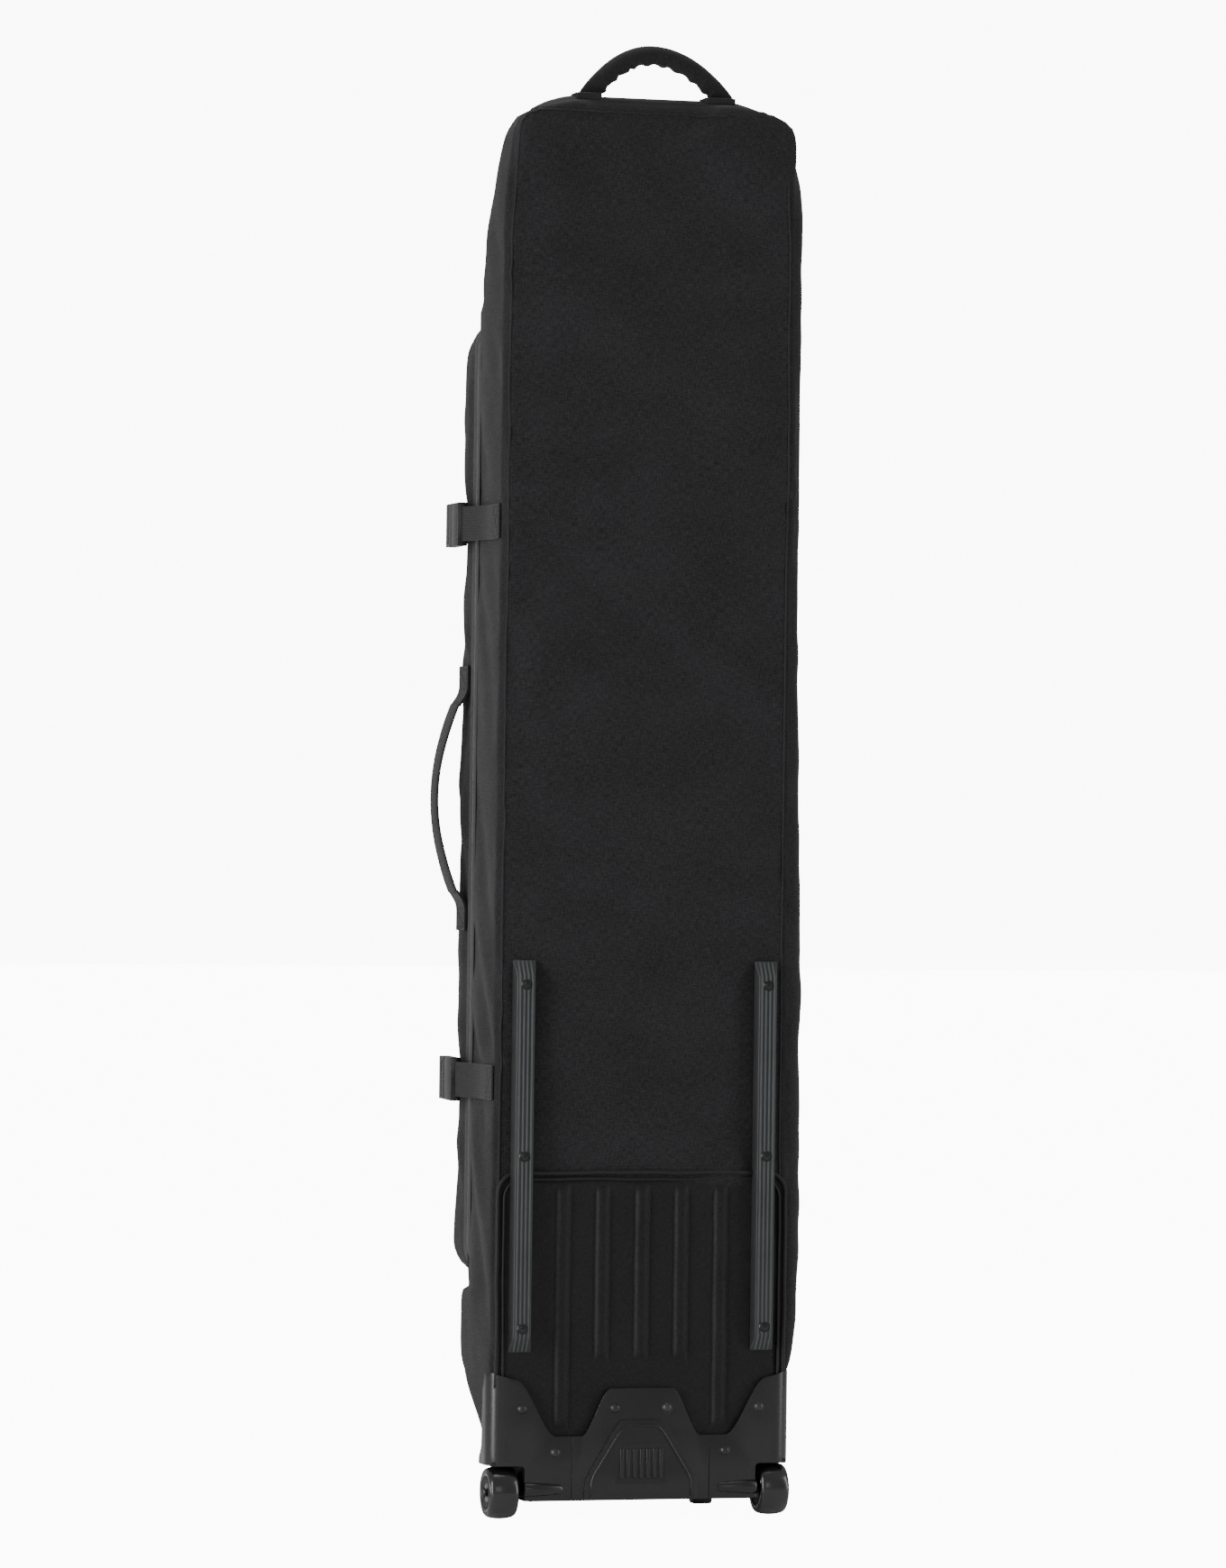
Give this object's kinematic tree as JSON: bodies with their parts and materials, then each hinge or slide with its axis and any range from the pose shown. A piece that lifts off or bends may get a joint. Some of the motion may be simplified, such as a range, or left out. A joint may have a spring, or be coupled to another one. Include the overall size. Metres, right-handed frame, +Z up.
{
  "type": "snowboard bag",
  "caption": "Tall padded wheeled bag for snowboards, with skid rails and moulded base on its back, a zipped hinged lid, compression straps and two carry handles.",
  "frame": {"origin": "on the floor, under the centre of the bounding box of the standing bag", "axes": "+Z up along the bag's length; -Y is the back with the skid rails and wheels, +Y the front with the lid; +X is to the right seen from the back's side"},
  "size_m": [0.3982, 0.207, 1.681],
  "materials": {
    "body_fabric": "near-black woven polyester, matt with a faint sheen",
    "handle_fabric": "ruched near-black woven polyester over foam",
    "cover_fabric": "moulded coated fabric, satin",
    "base_plastic": "satin moulded polypropylene",
    "rail_plastic": "satin extruded nylon, dark grey",
    "wheel_rubber": "dark grey cast urethane, fairly glossy",
    "wheel_plastic": "black nylon hub",
    "bearing_steel": "ground bearing steel",
    "black_metal": "blackened steel",
    "webbing": "ribbed nylon webbing",
    "buckle_plastic": "black acetal, fairly glossy",
    "zip_plastic": "black coil zip",
    "board_plastic": "grey polyethylene sheet"
  },
  "bodies": {
    "tub": {"back_panel": "body_fabric", "side_gusset_left": "body_fabric", "side_gusset_right": "body_fabric", "top_gusset": "body_fabric", "front_panel_upper": "body_fabric", "front_panel_lower": "body_fabric", "ribbed_cover": "cover_fabric", "wheel_housing_left": "base_plastic", "wheel_housing_right": "base_plastic", "base_centre_plate": "base_plastic", "base_bumper": "base_plastic", "skid_rail_left": "rail_plastic", "skid_rail_right": "rail_plastic", "axle_left": "black_metal", "axle_right": "black_metal", "rivet_1": "black_metal", "rivet_2": "black_metal", "rivet_3": "black_metal", "rivet_4": "black_metal", "rivet_5": "black_metal", "rivet_6": "black_metal", "rail_screw_1": "black_metal", "rail_screw_2": "black_metal", "rail_screw_3": "black_metal", "rail_screw_4": "black_metal", "rail_screw_5": "black_metal", "rail_screw_6": "black_metal", "strap_stub_upper": "webbing", "strap_stub_lower": "webbing", "top_handle_patch_left": "webbing", "top_handle_patch_right": "webbing", "board_strap_upper": "webbing", "board_strap_lower": "webbing", "buckle_socket_upper": "buckle_plastic", "buckle_socket_lower": "buckle_plastic", "zip_chain_tub": "zip_plastic", "back_board": "board_plastic"},
    "wheel_left": {"tyre_left": "wheel_rubber", "wheel_core_left": "wheel_plastic", "bearing_left_outer": "bearing_steel", "bearing_left_inner": "bearing_steel"},
    "wheel_right": {"tyre_right": "wheel_rubber", "wheel_core_right": "wheel_plastic", "bearing_right_outer": "bearing_steel", "bearing_right_inner": "bearing_steel"},
    "lid": {"lid_band": "body_fabric", "lid_panel": "body_fabric", "zip_chain_lid": "zip_plastic", "front_strap_upper": "webbing", "front_strap_lower": "webbing", "buckle_plug_upper": "buckle_plastic", "buckle_plug_lower": "buckle_plastic", "side_handle_patch_upper": "webbing", "side_handle_patch_lower": "webbing"},
    "top_handle": {"top_handle_grip": "handle_fabric"},
    "side_handle": {"side_handle_strap": "webbing"},
    "slider_left": {"zip_slider_left": "black_metal"},
    "slider_right": {"zip_slider_right": "black_metal"},
    "pull_left": {"zip_pull_left": "zip_plastic"},
    "pull_right": {"zip_pull_right": "zip_plastic"}
  },
  "joints": [
    {"name": "wheel_left_spin", "type": "hinge", "parent": "tub", "child": "wheel_left", "pos_m": [-0.1439, -0.0735, 0.03], "axis": [1, 0, 0], "continuous": true},
    {"name": "wheel_right_spin", "type": "hinge", "parent": "tub", "child": "wheel_right", "pos_m": [0.1781, -0.0735, 0.03], "axis": [1, 0, 0], "continuous": true},
    {"name": "lid_open", "type": "hinge", "parent": "tub", "child": "lid", "pos_m": [0.1946, 0.0235, 0.822], "axis": [0, 0, -1], "range_deg": [0, 160]},
    {"name": "top_handle_fold", "type": "hinge", "parent": "tub", "child": "top_handle", "pos_m": [0.0171, -0.0665, 1.632], "axis": [1, 0, 0], "range_deg": [-70, 70]},
    {"name": "side_handle_swing", "type": "hinge", "parent": "lid", "child": "side_handle", "pos_m": [-0.1721, 0.0585, 0.821], "axis": [0, 0, 1], "range_deg": [-28, 28]},
    {"name": "slider_left_slide", "type": "slide", "parent": "tub", "child": "slider_left", "axis": [-1, 0, 0], "range_m": [0, 0.118]},
    {"name": "slider_right_slide", "type": "slide", "parent": "tub", "child": "slider_right", "axis": [1, 0, 0], "range_m": [0, 0.118]},
    {"name": "pull_left_swing", "type": "hinge", "parent": "slider_left", "child": "pull_left", "pos_m": [0.0031, 0.0335, 1.3868], "axis": [1, 0, 0], "range_deg": [0, 120]},
    {"name": "pull_right_swing", "type": "hinge", "parent": "slider_right", "child": "pull_right", "pos_m": [0.0311, 0.0335, 1.3868], "axis": [1, 0, 0], "range_deg": [0, 120]}
  ]
}
